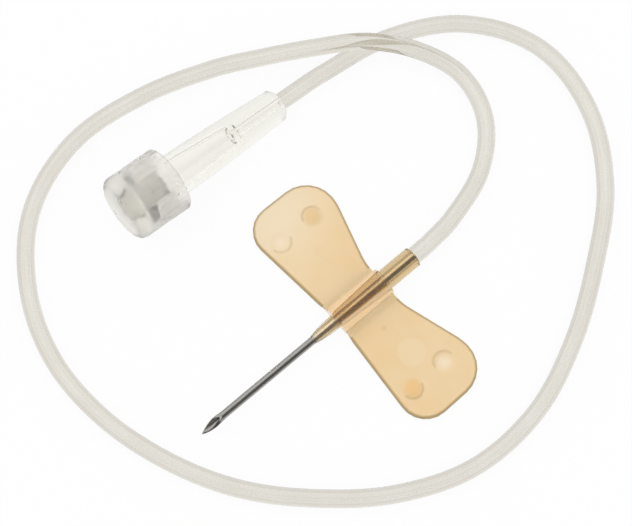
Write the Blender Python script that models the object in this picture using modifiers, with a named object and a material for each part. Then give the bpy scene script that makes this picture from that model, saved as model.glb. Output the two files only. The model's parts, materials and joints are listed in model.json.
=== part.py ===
"""Butterfly needle: a winged steel cannula on thin tubing, with a capped luer connector.

The part lies as it does on a table. The origin is under the middle of the saddle, on the
surface that it rests on. The needle points along -Y, the tubing leaves along +Y and the
wings spread along X. Everything is in metres.
"""

from math import acos
from math import asin
from math import atan2
from math import cos
from math import pi
from math import radians
from math import sin
from math import tan

import bmesh
import bpy
from mathutils import Matrix
from mathutils import Vector
from mathutils.geometry import interpolate_bezier

MM = 0.001

# Fits
BOND_GAP = 0.08 * MM
SEAT_GAP = 0.30 * MM
SLIP_GAP = 0.20 * MM
HINGE_GAP = 0.10 * MM

# Steel cannula, 19 gauge, with a lancet point
CANNULA_OUTER_R = 0.55 * MM
CANNULA_WALL = 0.16 * MM
NEEDLE_REACH = 19.85 * MM
POINT_FLARE = 0.11 * MM
POINT_FLARE_LENGTH = 2.3 * MM
POINT_FLARE_RUN = 1.6 * MM
POINT_LENGTH = 3.85 * MM
LANCET_PITCH = radians(20)
LANCET_ROLL = radians(36)

# Tubing
TUBE_R = 1.25 * MM
TUBE_LIFT = 0.05 * MM
TUBE_STEP = 4.6 * MM
TUBE_STRAIGHT = 2.5 * MM

# Tapered hub that carries the cannula and holds the tubing
HUB_NOSE_Y = -8.65 * MM
HUB_LENGTH = 18.35 * MM
HUB_CONE_LENGTH = 2.3 * MM
HUB_SHOULDER_LENGTH = 0.6 * MM
HUB_SHOULDER_DROP = 0.07 * MM
HUB_PARALLEL_LENGTH = 4.5 * MM
HUB_FRONT_WALL = 0.32 * MM
HUB_REAR_WALL = 0.19 * MM
HUB_SOCKET_DEPTH = 4.0 * MM
HUB_EDGE_R = 0.14 * MM

# Saddle that grips the hub and carries both wings
SADDLE_LENGTH = 8.6 * MM
SADDLE_WALL = 0.42 * MM
SADDLE_FLOOR = 0.30 * MM
SADDLE_EDGE = 0.07 * MM

# Wings
WING_SPAN = 38.25 * MM
WING_ROOT_THICKNESS = 1.0 * MM
WING_TIP_THICKNESS = 0.8 * MM
WING_EDGE = 0.12 * MM
WING_REAR_REACH = 7.15 * MM
WING_FRONT_REACH = 5.7 * MM
WING_FRONT_CORNER_R = 3.9 * MM
WING_REAR_CORNER_R = 4.6 * MM
WING_FLARE_R = 8.0 * MM
WING_FLARE_START = 1.5 * MM
WING_FLARE_END = 5.9 * MM
WING_REAR_SLOPE = 0.15 * MM
WING_TIP_RAKE = 0.25 * MM
FOLD_WEB = 0.40 * MM
FOLD_GROOVE_FLAT = 0.25 * MM

# Stud and dimple on each wing, which meet when the wings are folded together
STUD_R = 1.45 * MM
STUD_HEIGHT = 0.32 * MM
STUD_TIP_INSET = 5.3 * MM
STUD_REAR_Y = 3.15 * MM
STUD_FRONT_Y = -2.6 * MM

# Female luer connector
LUER_LENGTH = 25.2 * MM
LUER_MOUTH_R = 2.15 * MM
LUER_TAPER = 0.03
LUER_SEAT_DEPTH = 8.0 * MM
LUER_MOUTH_WALL = 0.95 * MM
LUER_MOUTH_EDGE = 0.12 * MM
LUER_END_WALL = 1.07 * MM
LUER_END_CHAMFER = 0.55 * MM
LUER_END_INSET = 0.39 * MM
LUER_SOCKET_DEPTH = 8.0 * MM
LUER_STOP = 0.7 * MM
LUER_LUMEN_R = 0.75 * MM
LUER_THROAT_R = 1.3 * MM
LUG_REACH = 0.80 * MM
LUG_WIDTH = 3.6 * MM
LUG_THICKNESS = 1.2 * MM
LUG_EDGE = 0.25 * MM
LUG_ROOT_SLOPE = 0.32 * MM

# Cap over the connector
CAP_LENGTH = 8.45 * MM
CAP_WALL = 0.76 * MM
CAP_OVERLAP = 6.0 * MM
CAP_CORNER_R = 1.2 * MM
CAP_RIM_EDGE = 0.22 * MM
CAP_PLUG_LENGTH = 4.4 * MM
CAP_PLUG_EDGE = 0.15 * MM
CAP_FLUTES = 24
CAP_FLUTE_LENGTH = 4.6 * MM
CAP_FLUTE_DEPTH = 0.16 * MM
CAP_FLUTE_R = 0.34 * MM

# How deep a piece is sunk where it is joined on, and how far a cutter runs past a face
JOIN_DEPTH = 0.3 * MM
CUT_OVERRUN = 1.0 * MM

# How near two mesh points are before they count as one
MERGE_DISTANCE = 0.001 * MM

# Where the connector lies
LUER_END_X = -29.25 * MM
LUER_END_Y = 10.1 * MM
LUER_HEADING = radians(-91.9)

# Tubing route from hub to connector: x and y in millimetres, lift in tube widths
TUBE_ROUTE = (
    (-0.7, 17.6, 0.08),
    (-3.4, 25.4, 0.0),
    (-8.7, 31.0, 0.0),
    (-15.7, 32.9, 0.04),
    (-22.2, 30.5, 0.44),
    (-27.6, 25.4, 1.1),
    (-32.3, 19.3, 0.6),
    (-36.3, 13.2, 0.12),
    (-39.7, 6.7, 0.0),
    (-43.1, -3.7, 0.0),
    (-44.0, -15.1, 0.0),
    (-40.0, -25.8, 0.0),
    (-31.6, -33.3, 0.0),
    (-21.5, -37.1, 0.0),
    (-10.9, -37.2, 0.0),
    (-0.6, -34.5, 0.0),
    (8.7, -29.7, 0.0),
    (16.6, -22.7, 0.0),
    (23.4, -13.9, 0.0),
    (27.5, -3.5, 0.0),
    (27.3, 7.8, 0.0),
    (23.3, 18.4, 0.0),
    (17.2, 28.1, 0.0),
    (9.8, 37.0, 0.0),
    (-0.2, 43.1, 0.0),
    (-11.5, 44.2, 0.0),
    (-21.2, 38.7, 0.0),
    (-26.8, 29.2, 0.0),
    (-28.9, 17.9, 0.05),
)

# Facets round each turned piece
FINE_STEPS = 48
HUB_STEPS = 32
CANNULA_STEPS = 24
STUD_STEPS = 28
DOME_STEPS = 4
ARC_STEPS = 6
EDGE_STEPS = 2
CROWN_STEPS = 20
WEB_STEPS = 8
BODY_STEPS = 8
CURVE_STEPS = 24

# Derived sizes
CANNULA_BORE_R = CANNULA_OUTER_R - CANNULA_WALL
HUB_REAR_Y = HUB_NOSE_Y + HUB_LENGTH
HUB_FRONT_R = CANNULA_OUTER_R + BOND_GAP + HUB_FRONT_WALL
HUB_REAR_R = TUBE_R + BOND_GAP + HUB_REAR_WALL
HUB_TAPER_START_Y = HUB_NOSE_Y + HUB_CONE_LENGTH
HUB_TAPER_END_Y = HUB_REAR_Y - HUB_PARALLEL_LENGTH
TUBE_SOCKET_R = TUBE_R + BOND_GAP
SADDLE_HALF_LENGTH = SADDLE_LENGTH / 2
SADDLE_HALF_WIDTH = HUB_REAR_R + BOND_GAP + SADDLE_WALL
HUB_AXIS_Z = HUB_REAR_R + BOND_GAP + SADDLE_FLOOR
FOLD_R = FOLD_WEB / 2
FOLD_Z = WING_ROOT_THICKNESS - FOLD_R
FOLD_X = SADDLE_HALF_WIDTH + 2 * FOLD_R + HINGE_GAP
STUD_X = WING_SPAN / 2 - STUD_TIP_INSET
LUER_END_R = TUBE_SOCKET_R + LUER_END_WALL
LUER_BODY_R = LUER_MOUTH_R + LUER_MOUTH_WALL
LUG_R = LUER_BODY_R + LUG_REACH
CAP_INNER_R = LUG_R + SLIP_GAP
CAP_OUTER_R = CAP_INNER_R + CAP_WALL
CAP_RIM_AT = LUER_LENGTH - CAP_OVERLAP
CAP_FLOOR_AT = CAP_OVERLAP + SEAT_GAP
LUER_PITCH = asin((CAP_OUTER_R - LUER_END_R) / CAP_RIM_AT)
LUER_END_Z = LUER_END_R * cos(LUER_PITCH)
TUBE_CENTRE_Z = TUBE_R + TUBE_LIFT


def start_scene():
    for old in list(bpy.data.objects):
        bpy.data.objects.remove(old, do_unlink=True)


def new_collection(name):
    group = bpy.data.collections.new(name)
    bpy.context.scene.collection.children.link(group)
    return group


def make_material(name, colour, roughness, metallic=0.0, alpha=1.0):
    material = bpy.data.materials.new(name)
    material.use_nodes = True
    shader = material.node_tree.nodes["Principled BSDF"]
    shader.inputs["Base Color"].default_value = (*colour, 1.0)
    shader.inputs["Roughness"].default_value = roughness
    shader.inputs["Metallic"].default_value = metallic
    shader.inputs["Alpha"].default_value = alpha
    return material


def add_object(name, data, group, place=None):
    obj = bpy.data.objects.new(name, data)
    group.objects.link(obj)
    if place is not None:
        obj.matrix_world = place
    return obj


def mark_as_cutter(obj):
    obj.hide_render = True
    obj.display_type = "WIRE"
    return obj


def baked(obj):
    """Replace an object by the plain mesh that its curve or modifiers make."""
    bpy.context.view_layer.update()
    graph = bpy.context.evaluated_depsgraph_get()
    mesh = bpy.data.meshes.new_from_object(obj.evaluated_get(graph))
    work = bmesh.new()
    work.from_mesh(mesh)
    bmesh.ops.remove_doubles(work, verts=work.verts, dist=MERGE_DISTANCE)
    work.to_mesh(mesh)
    work.free()
    name = obj.name
    place = obj.matrix_world.copy()
    group = obj.users_collection[0]
    bpy.data.objects.remove(obj, do_unlink=True)
    return add_object(name, mesh, group, place)


def turned(name, profile, steps, group, place=None, closed=False):
    """Spin a profile of (radius, height) pairs round the local Z axis."""
    mesh = bpy.data.meshes.new(name)
    work = bmesh.new()
    corners = [work.verts.new((radius, 0.0, height)) for radius, height in profile]
    for first, second in zip(corners, corners[1:]):
        work.edges.new((first, second))
    if closed:
        work.edges.new((corners[-1], corners[0]))
    work.to_mesh(mesh)
    work.free()
    obj = add_object(name, mesh, group, place)
    screw = obj.modifiers.new("spin", "SCREW")
    screw.axis = "Z"
    screw.angle = 2 * pi
    screw.steps = steps
    screw.render_steps = steps
    screw.use_merge_vertices = True
    screw.merge_threshold = MERGE_DISTANCE
    screw.use_smooth_shade = True
    return baked(obj)


def flat_solid(name, outline, thickness, group, place=None):
    """Fill a flat outline and give it a thickness, half to each side."""
    curve = bpy.data.curves.new(name, "CURVE")
    curve.dimensions = "2D"
    curve.fill_mode = "BOTH"
    curve.extrude = thickness / 2
    spline = curve.splines.new("POLY")
    spline.points.add(len(outline) - 1)
    for point, (across, along) in zip(spline.points, outline):
        point.co = (across, along, 0.0, 1.0)
    spline.use_cyclic_u = True
    return baked(add_object(name, curve, group, place))


def box(name, corner, opposite, group):
    """A box between two opposite corners."""
    size = opposite - corner
    mesh = bpy.data.meshes.new(name)
    work = bmesh.new()
    bmesh.ops.create_cube(work, size=1.0)
    bmesh.ops.scale(work, verts=work.verts, vec=[abs(length) for length in size])
    bmesh.ops.translate(work, verts=work.verts, vec=(corner + opposite) / 2)
    work.to_mesh(mesh)
    work.free()
    return add_object(name, mesh, group)


def combine(obj, other, operation):
    """Apply a Boolean and bake it, and remove the other solid if it isn't a cutter."""
    boolean = obj.modifiers.new(operation.lower(), "BOOLEAN")
    boolean.operation = operation
    boolean.solver = "EXACT"
    boolean.object = other
    result = baked(obj)
    if not other.hide_render:
        bpy.data.objects.remove(other, do_unlink=True)
    return result


def soften(obj, width, angle):
    """Round the edges that are sharper than an angle."""
    bevel = obj.modifiers.new("edge", "BEVEL")
    bevel.width = width
    bevel.segments = 2
    bevel.limit_method = "ANGLE"
    bevel.angle_limit = angle
    return baked(obj)


def finish(obj, material, sharp=40):
    obj.data.materials.clear()
    obj.data.materials.append(material)
    obj.data.shade_smooth()
    obj.data.set_sharp_from_angle(angle=radians(sharp))
    return obj


def reset_origin(obj, origin):
    """Move an object's origin to a point without moving its solid."""
    offset = origin.inverted() @ obj.matrix_world
    obj.data.transform(offset)
    obj.matrix_world = origin


def arc(centre, radius, start, end, steps=ARC_STEPS):
    """Points on an arc, with both ends."""
    turns = [start + (end - start) * step / steps for step in range(steps + 1)]
    return [(centre[0] + radius * cos(turn), centre[1] + radius * sin(turn)) for turn in turns]


def rounded_edge(radius, height, size):
    """The points of a rounded outer edge at the top of a turned profile."""
    return arc((radius - size, height - size), size, pi / 2, 0.0, EDGE_STEPS)


def dome(radius, height):
    """The profile of a low round dome, from its top out to its rim."""
    sphere_r = (radius ** 2 + height ** 2) / (2 * height)
    rim_turn = asin((sphere_r - height) / sphere_r)
    points = arc((0.0, height - sphere_r), sphere_r, pi / 2, rim_turn, DOME_STEPS)
    return [(0.0, height), *points[1:-1], (radius, 0.0)]


def fitted_trims(corners, half_angles):
    """How far each corner's arc runs along its sides, so that two arcs fit on each side."""
    trims = [radius / tan(half) for (*_, radius), half in zip(corners, half_angles)]
    fits = [1.0] * len(corners)
    for index, corner in enumerate(corners):
        following = (index + 1) % len(corners)
        side = (Vector(corners[following][:2]) - Vector(corner[:2])).length
        wanted = trims[index] + trims[following]
        if wanted > side:
            fits[index] = min(fits[index], side / wanted)
            fits[following] = min(fits[following], side / wanted)
    return [trim * fit for trim, fit in zip(trims, fits)]


def rounded_outline(corners):
    """Turn (x, y, radius) corners into an outline with an arc at each rounded corner."""
    ways = []
    for index, (x, y, _) in enumerate(corners):
        before = Vector(corners[index - 1][:2]) - Vector((x, y))
        after = Vector(corners[(index + 1) % len(corners)][:2]) - Vector((x, y))
        ways.append((before.normalized(), after.normalized()))
    half_angles = [acos(before.dot(after)) / 2 for before, after in ways]
    trims = fitted_trims(corners, half_angles)
    outline = []
    for (x, y, _), (before, after), half, trim in zip(corners, ways, half_angles, trims):
        if trim == 0:
            outline.append((x, y))
            continue
        radius = trim * tan(half)
        centre = Vector((x, y)) + (before + after).normalized() * radius / sin(half)
        first = Vector((x, y)) + before * trim - centre
        last = Vector((x, y)) + after * trim - centre
        start = atan2(first.y, first.x)
        sweep = (atan2(last.y, last.x) - start + pi) % (2 * pi) - pi
        outline.extend(arc(centre, radius, start, start + sweep))
    return outline


def along_y(y, z=HUB_AXIS_Z):
    """A place whose local Z axis points along +Y."""
    return Matrix.Translation((0.0, y, z)) @ Matrix.Rotation(-pi / 2, 4, "X")


def section_place():
    """A place whose local X and Y are world X and Z, for sections extruded along Y."""
    return Matrix.Rotation(pi / 2, 4, "X")


def luer_place():
    """The middle of the connector's tube end, with local Z towards its mouth."""
    heading = Matrix.Rotation(LUER_HEADING, 4, "Z")
    pitch = Matrix.Rotation(pi / 2 - LUER_PITCH, 4, "Y")
    return Matrix.Translation((LUER_END_X, LUER_END_Y, LUER_END_Z)) @ heading @ pitch


def hub_radius(y):
    """The hub's outside radius at a point behind its cone."""
    share = (y - HUB_TAPER_START_Y) / (HUB_TAPER_END_Y - HUB_TAPER_START_Y)
    share = min(max(share, 0.0), 1.0)
    return HUB_FRONT_R + (HUB_REAR_R - HUB_FRONT_R) * share


def luer_radius(height):
    """The connector's outside radius, which swells from its tube end to its mouth."""
    share = min(height / CAP_RIM_AT, 1.0)
    return LUER_END_R + (LUER_BODY_R - LUER_END_R) * sin(share * pi / 2)


def build_cannula(parts, cutters, material):
    tip_y = HUB_NOSE_Y - NEEDLE_REACH
    rear_y = HUB_REAR_Y - HUB_SOCKET_DEPTH - SEAT_GAP
    length = rear_y - tip_y
    flare_r = CANNULA_OUTER_R + POINT_FLARE
    flare_root = POINT_FLARE_LENGTH + POINT_FLARE_RUN
    profile = [
        (CANNULA_OUTER_R, length),
        (CANNULA_OUTER_R, flare_root),
        (flare_r, POINT_FLARE_LENGTH),
        (flare_r, 0.0),
        (flare_r - CANNULA_WALL, 0.0),
        (flare_r - CANNULA_WALL, POINT_FLARE_LENGTH),
        (CANNULA_BORE_R, flare_root),
        (CANNULA_BORE_R, length),
    ]
    tube = turned("cannula", profile, CANNULA_STEPS, parts, along_y(tip_y), closed=True)
    point = Vector((0.0, tip_y, HUB_AXIS_Z - flare_r))
    bevel_pitch = atan2(2 * flare_r, POINT_LENGTH)
    grinds = (
        ("point_bevel", bevel_pitch, 0.0),
        ("left_lancet_grind", LANCET_PITCH, LANCET_ROLL),
        ("right_lancet_grind", LANCET_PITCH, -LANCET_ROLL),
    )
    reach = 2 * POINT_LENGTH
    for name, pitch, roll in grinds:
        low = Vector((-reach, -reach, 0.0))
        high = Vector((reach, reach, reach))
        cutter = box(name, low, high, cutters)
        turn = Matrix.Rotation(roll, 4, "Y") @ Matrix.Rotation(pitch, 4, "X")
        cutter.matrix_world = Matrix.Translation(point) @ turn
        tube = combine(tube, mark_as_cutter(cutter), "DIFFERENCE")
    return finish(tube, material)


def build_hub(parts, material):
    bore_r = CANNULA_OUTER_R + BOND_GAP
    rear = HUB_LENGTH
    rear_edge = rounded_edge(HUB_REAR_R, rear, HUB_EDGE_R)
    profile = [
        (TUBE_SOCKET_R, rear),
        *rear_edge,
        (HUB_REAR_R, rear - HUB_PARALLEL_LENGTH),
        (HUB_FRONT_R, HUB_CONE_LENGTH),
        (HUB_FRONT_R - HUB_SHOULDER_DROP, HUB_CONE_LENGTH - HUB_SHOULDER_LENGTH),
        (bore_r + BOND_GAP, 0.0),
        (bore_r, 0.0),
        (bore_r, rear - HUB_SOCKET_DEPTH),
        (TUBE_SOCKET_R, rear - HUB_SOCKET_DEPTH),
    ]
    hub = turned("needle_hub", profile, HUB_STEPS, parts, along_y(HUB_NOSE_Y), closed=True)
    return finish(hub, material)


def build_saddle(parts, cutters, material):
    """An arched sleeve with a flat underside and a thin lip on each side for the fold."""
    foot = [(-SADDLE_HALF_WIDTH, 0.0), (SADDLE_HALF_WIDTH, 0.0)]
    crown = arc((0.0, HUB_AXIS_Z), SADDLE_HALF_WIDTH, 0.0, pi, CROWN_STEPS)
    saddle = flat_solid("wing_saddle", foot + crown, SADDLE_LENGTH, parts, section_place())
    saddle = soften(saddle, SADDLE_EDGE, radians(80))
    front_y = -SADDLE_HALF_LENGTH - CUT_OVERRUN
    rear_y = SADDLE_HALF_LENGTH + CUT_OVERRUN
    stations = [rear_y, front_y]
    for bend_y in (HUB_TAPER_START_Y, HUB_TAPER_END_Y):
        if front_y < bend_y < rear_y:
            stations.append(bend_y)
    wall = [(hub_radius(y) + BOND_GAP, y - front_y) for y in sorted(stations, reverse=True)]
    bore = [(0.0, rear_y - front_y), *wall, (0.0, 0.0)]
    cutter = turned("saddle_bore", bore, HUB_STEPS, cutters, along_y(front_y))
    saddle = combine(saddle, mark_as_cutter(cutter), "DIFFERENCE")
    rooted_x = SADDLE_HALF_WIDTH - SADDLE_WALL / 2
    lip_x = FOLD_X - FOLD_R - HINGE_GAP
    half_length = SADDLE_HALF_LENGTH - SADDLE_EDGE
    for side in (-1, 1):
        inner = Vector((side * rooted_x, -half_length, FOLD_Z - FOLD_R))
        outer = Vector((side * lip_x, half_length, FOLD_Z + FOLD_R))
        lip = box("fold_lip", inner, outer, parts)
        saddle = combine(saddle, lip, "UNION")
    return finish(saddle, material)


def wing_top(x):
    """Height of a wing's upper face at a distance from the needle."""
    share = (x - FOLD_X) / (WING_SPAN / 2 - FOLD_X)
    return WING_ROOT_THICKNESS + (WING_TIP_THICKNESS - WING_ROOT_THICKNESS) * share


def build_wing(name, side, stud_y, dimple_y, parts, cutters, material):
    """One wing: its plan outline meets its section, then it gets its stud and dimple."""
    tip_x = WING_SPAN / 2
    root_x = FOLD_X - FOLD_R
    plan = rounded_outline([
        (root_x, -SADDLE_HALF_LENGTH, 0),
        (tip_x, -WING_FRONT_REACH, WING_FRONT_CORNER_R),
        (tip_x - WING_TIP_RAKE, WING_REAR_REACH + WING_REAR_SLOPE, WING_REAR_CORNER_R),
        (tip_x - WING_FLARE_END, WING_REAR_REACH, WING_FLARE_R),
        (root_x + WING_FLARE_START, SADDLE_HALF_LENGTH, WING_FLARE_R),
        (root_x, SADDLE_HALF_LENGTH, 0),
    ])
    web_low = FOLD_Z - FOLD_R
    groove_end = FOLD_X + FOLD_GROOVE_FLAT
    past_tip_x = tip_x + CUT_OVERRUN
    section = arc((FOLD_X, FOLD_Z), FOLD_R, pi / 2, 3 * pi / 2, WEB_STEPS)
    section += [
        (groove_end, web_low),
        (groove_end + web_low, 0.0),
        (past_tip_x, 0.0),
        (past_tip_x, wing_top(past_tip_x)),
    ]
    if side < 0:
        plan = [(-x, y) for x, y in plan]
        section = [(-x, z) for x, z in section]
    depth = 2 * (WING_REAR_REACH + WING_REAR_SLOPE + WING_FRONT_REACH)
    wing = flat_solid(name, section, depth, parts, section_place())
    height = 2 * (max(WING_ROOT_THICKNESS, WING_TIP_THICKNESS) + CUT_OVERRUN)
    blank = flat_solid(name + "_plan", plan, height, parts)
    wing = combine(wing, blank, "INTERSECT")
    wing = soften(wing, WING_EDGE, radians(60))

    top = wing_top(STUD_X)
    stud = [*dome(STUD_R, STUD_HEIGHT), (STUD_R, -JOIN_DEPTH), (0.0, -JOIN_DEPTH)]
    stud_place = Matrix.Translation((side * STUD_X, stud_y, top))
    boss = turned(name + "_stud", stud, STUD_STEPS, parts, stud_place)
    wing = combine(wing, boss, "UNION")

    dimple_r = STUD_R + HINGE_GAP
    bowl = [(radius, -height) for radius, height in reversed(dome(dimple_r, STUD_HEIGHT))]
    dimple = [(0.0, CUT_OVERRUN), (dimple_r, CUT_OVERRUN), *bowl]
    dimple_place = Matrix.Translation((side * STUD_X, dimple_y, top))
    cutter = turned(name + "_dimple", dimple, STUD_STEPS, cutters, dimple_place)
    wing = combine(wing, mark_as_cutter(cutter), "DIFFERENCE")
    reset_origin(wing, Matrix.Translation((side * FOLD_X, 0.0, FOLD_Z)))
    return finish(wing, material)


def build_luer(parts, material):
    """A turned connector: tapered seat, throat, stop and tube socket, with two lugs."""
    seat_end_r = LUER_MOUTH_R - LUER_TAPER * LUER_SEAT_DEPTH
    stop_end = LUER_SOCKET_DEPTH + LUER_STOP
    heights = [CAP_RIM_AT * step / BODY_STEPS for step in range(BODY_STEPS, -1, -1)]
    body = [(luer_radius(height), height) for height in heights]
    body[-1] = (luer_radius(LUER_END_CHAMFER), LUER_END_CHAMFER)
    profile = [
        (LUER_MOUTH_R + LUER_MOUTH_EDGE, LUER_LENGTH),
        (LUER_BODY_R, LUER_LENGTH),
        *body,
        (LUER_END_R - LUER_END_INSET, 0.0),
        (TUBE_SOCKET_R, 0.0),
        (TUBE_SOCKET_R, LUER_SOCKET_DEPTH),
        (LUER_LUMEN_R, LUER_SOCKET_DEPTH),
        (LUER_LUMEN_R, stop_end),
        (LUER_THROAT_R, stop_end),
        (seat_end_r, LUER_LENGTH - LUER_SEAT_DEPTH),
        (LUER_MOUTH_R, LUER_LENGTH - LUER_MOUTH_EDGE),
    ]
    luer = turned("luer_connector", profile, FINE_STEPS, parts, closed=True)
    sunk_r = LUER_BODY_R - JOIN_DEPTH
    lug_low = LUER_LENGTH - LUG_THICKNESS
    ring = [
        (sunk_r, LUER_LENGTH - LUG_EDGE),
        (LUG_R - LUG_EDGE, LUER_LENGTH - LUG_EDGE),
        (LUG_R, LUER_LENGTH - 2 * LUG_EDGE),
        (LUG_R, lug_low),
        (sunk_r, lug_low - LUG_ROOT_SLOPE),
    ]
    lugs = turned("lug_ring", ring, FINE_STEPS, parts, closed=True)
    reach = LUG_R + CUT_OVERRUN
    low = Vector((-LUG_WIDTH / 2, -reach, lug_low - LUG_ROOT_SLOPE - CUT_OVERRUN))
    high = Vector((LUG_WIDTH / 2, reach, LUER_LENGTH + CUT_OVERRUN))
    slab = box("lug_width", low, high, parts)
    lugs = combine(lugs, slab, "INTERSECT")
    luer = combine(luer, lugs, "UNION")
    luer.matrix_world = luer_place()
    return finish(luer, material)


def build_cap(parts, cutters, material):
    """A round cup with grip flutes and a tapered plug that seals the connector."""
    plug_tip = CAP_FLOOR_AT - SEAT_GAP - CAP_PLUG_LENGTH
    plug_root_r = LUER_MOUTH_R - BOND_GAP
    plug_tip_r = plug_root_r - LUER_TAPER * CAP_PLUG_LENGTH
    corner = arc(
        (CAP_OUTER_R - CAP_CORNER_R, CAP_LENGTH - CAP_CORNER_R),
        CAP_CORNER_R,
        pi / 2,
        0.0,
    )
    profile = [
        (0.0, CAP_LENGTH),
        *corner,
        (CAP_OUTER_R, CAP_RIM_EDGE),
        (CAP_OUTER_R - CAP_RIM_EDGE, 0.0),
        (CAP_INNER_R + CAP_RIM_EDGE / 2, 0.0),
        (CAP_INNER_R, CAP_RIM_EDGE),
        (CAP_INNER_R, CAP_FLOOR_AT),
        (plug_root_r, CAP_FLOOR_AT),
        (plug_tip_r, plug_tip + CAP_PLUG_EDGE),
        (plug_tip_r - CAP_PLUG_EDGE, plug_tip),
        (0.0, plug_tip),
    ]
    cap = turned("luer_cap", profile, FINE_STEPS, parts)
    mesh = bpy.data.meshes.new("grip_flutes")
    work = bmesh.new()
    centre_r = CAP_OUTER_R + CAP_FLUTE_R - CAP_FLUTE_DEPTH
    for flute in range(CAP_FLUTES):
        turn = Matrix.Rotation(2 * pi * (flute + 0.5) / CAP_FLUTES, 4, "Z")
        shift = Matrix.Translation((centre_r, 0.0, CAP_FLUTE_LENGTH / 2 - SEAT_GAP))
        bmesh.ops.create_cone(
            work,
            cap_ends=True,
            segments=8,
            radius1=CAP_FLUTE_R,
            radius2=CAP_FLUTE_R,
            depth=CAP_FLUTE_LENGTH,
            matrix=turn @ shift,
        )
    work.to_mesh(mesh)
    work.free()
    cutter = mark_as_cutter(add_object("grip_flutes", mesh, cutters))
    cap = combine(cap, cutter, "DIFFERENCE")
    place = luer_place() @ Matrix.Translation((0.0, 0.0, CAP_RIM_AT))
    cap.matrix_world = place
    cutter.matrix_world = place
    return finish(cap, material)


def smooth_path(points, step):
    """Even points on a smooth curve through the given ones."""
    before = [points[0], *points]
    after = [*points[1:], points[-1]]
    ways = [(end - start).normalized() for start, end in zip(before, after)]
    fine = [points[0]]
    for start, end, way_out, way_in in zip(points, points[1:], ways, ways[1:]):
        reach = (end - start).length / 3
        handles = (start, start + way_out * reach, end - way_in * reach, end)
        fine.extend(interpolate_bezier(*handles, CURVE_STEPS)[1:])
    runs = [0.0]
    for start, end in zip(fine, fine[1:]):
        runs.append(runs[-1] + (end - start).length)
    count = round(runs[-1] / step)
    path = [fine[0]]
    index = 0
    for number in range(1, count):
        target = runs[-1] * number / count
        while runs[index + 1] < target:
            index += 1
        share = (target - runs[index]) / (runs[index + 1] - runs[index])
        path.append(fine[index].lerp(fine[index + 1], share))
    path.append(fine[-1])
    return path


def build_tubing(parts, material):
    """The free tubing, from the hub's socket to the connector's."""
    hub_start = Vector((0.0, HUB_REAR_Y - HUB_SOCKET_DEPTH + SEAT_GAP, HUB_AXIS_Z))
    hub_exit = Vector((0.0, HUB_REAR_Y + TUBE_STRAIGHT, HUB_AXIS_Z))
    place = luer_place()
    luer_exit = place @ Vector((0.0, 0.0, -TUBE_STRAIGHT))
    luer_end = place @ Vector((0.0, 0.0, LUER_SOCKET_DEPTH - SEAT_GAP))
    middle = []
    for x, y, lift in TUBE_ROUTE:
        middle.append(Vector((x * MM, y * MM, TUBE_CENTRE_Z + lift * 2 * TUBE_R)))
    free_run = smooth_path([hub_exit, *middle, luer_exit], TUBE_STEP)
    path = [hub_start, *free_run, luer_end]
    curve = bpy.data.curves.new("tubing", "CURVE")
    curve.dimensions = "3D"
    curve.bevel_depth = TUBE_R
    curve.bevel_resolution = 2
    curve.use_fill_caps = True
    spline = curve.splines.new("POLY")
    spline.points.add(len(path) - 1)
    for point, place_on_path in zip(spline.points, path):
        point.co = (*place_on_path, 1.0)
    tubing = baked(add_object("tubing", curve, parts))
    length = sum((second - first).length for first, second in zip(path, path[1:]))
    print("tubing length in millimetres", round(length / MM, 1), "points", len(path))
    return finish(tubing, material)


def show_places():
    """Print the places of the joints and the connector's mouth, in metres."""
    place = luer_place()
    mouth = place @ Vector((0.0, 0.0, LUER_LENGTH))
    direction = place.to_3x3() @ Vector((0.0, 0.0, 1.0))
    print("fold axes at x and z", round(FOLD_X, 6), round(FOLD_Z, 6))
    print("connector mouth", [round(value, 6) for value in mouth])
    print("connector axis", [round(value, 6) for value in direction])


def build():
    start_scene()
    parts = new_collection("butterfly_needle")
    cutters = new_collection("cutters")
    steel = make_material("ground_steel", (0.42, 0.42, 0.41), 0.25, metallic=1.0)
    hub_plastic = make_material("smoke_hub_plastic", (0.53, 0.42, 0.22), 0.15, alpha=0.8)
    cream_vinyl = make_material("cream_vinyl", (0.85, 0.63, 0.38), 0.4)
    clear_vinyl = make_material("clear_vinyl", (0.75, 0.71, 0.64), 0.25, alpha=0.6)
    clear_plastic = make_material("clear_rigid_plastic", (0.78, 0.76, 0.70), 0.12, alpha=0.5)
    frosted = make_material("frosted_cap_plastic", (0.72, 0.70, 0.65), 0.35, alpha=0.7)

    build_cannula(parts, cutters, steel)
    build_hub(parts, hub_plastic)
    build_saddle(parts, cutters, cream_vinyl)
    build_wing("left_wing", -1, STUD_REAR_Y, STUD_FRONT_Y, parts, cutters, cream_vinyl.copy())
    build_wing("right_wing", 1, STUD_FRONT_Y, STUD_REAR_Y, parts, cutters, cream_vinyl.copy())
    build_tubing(parts, clear_vinyl)
    build_luer(parts, clear_plastic)
    build_cap(parts, cutters, frosted)
    show_places()


build()
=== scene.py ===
# %% [markdown]
# # A winged infusion needle on a white table
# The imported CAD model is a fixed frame: it says where every piece is and what moves with what.
# This lesson dresses that frame. Clear and milky plastics need smooth surfaces to bend light
# through, so the turned pieces are modelled again with finer steps and real wall thicknesses,
# and the rest of the CAD meshes are merged and shaded smooth. Sizes on the needle set are written
# in millimetres and multiplied by MM. The table, the card and the lamps are sized in metres.

# %% Load the frame
import json
from math import asin, cos, pi, radians, sin

import bmesh
import bpy
from mathutils import Matrix, Vector
from mathutils.geometry import interpolate_bezier


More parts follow.
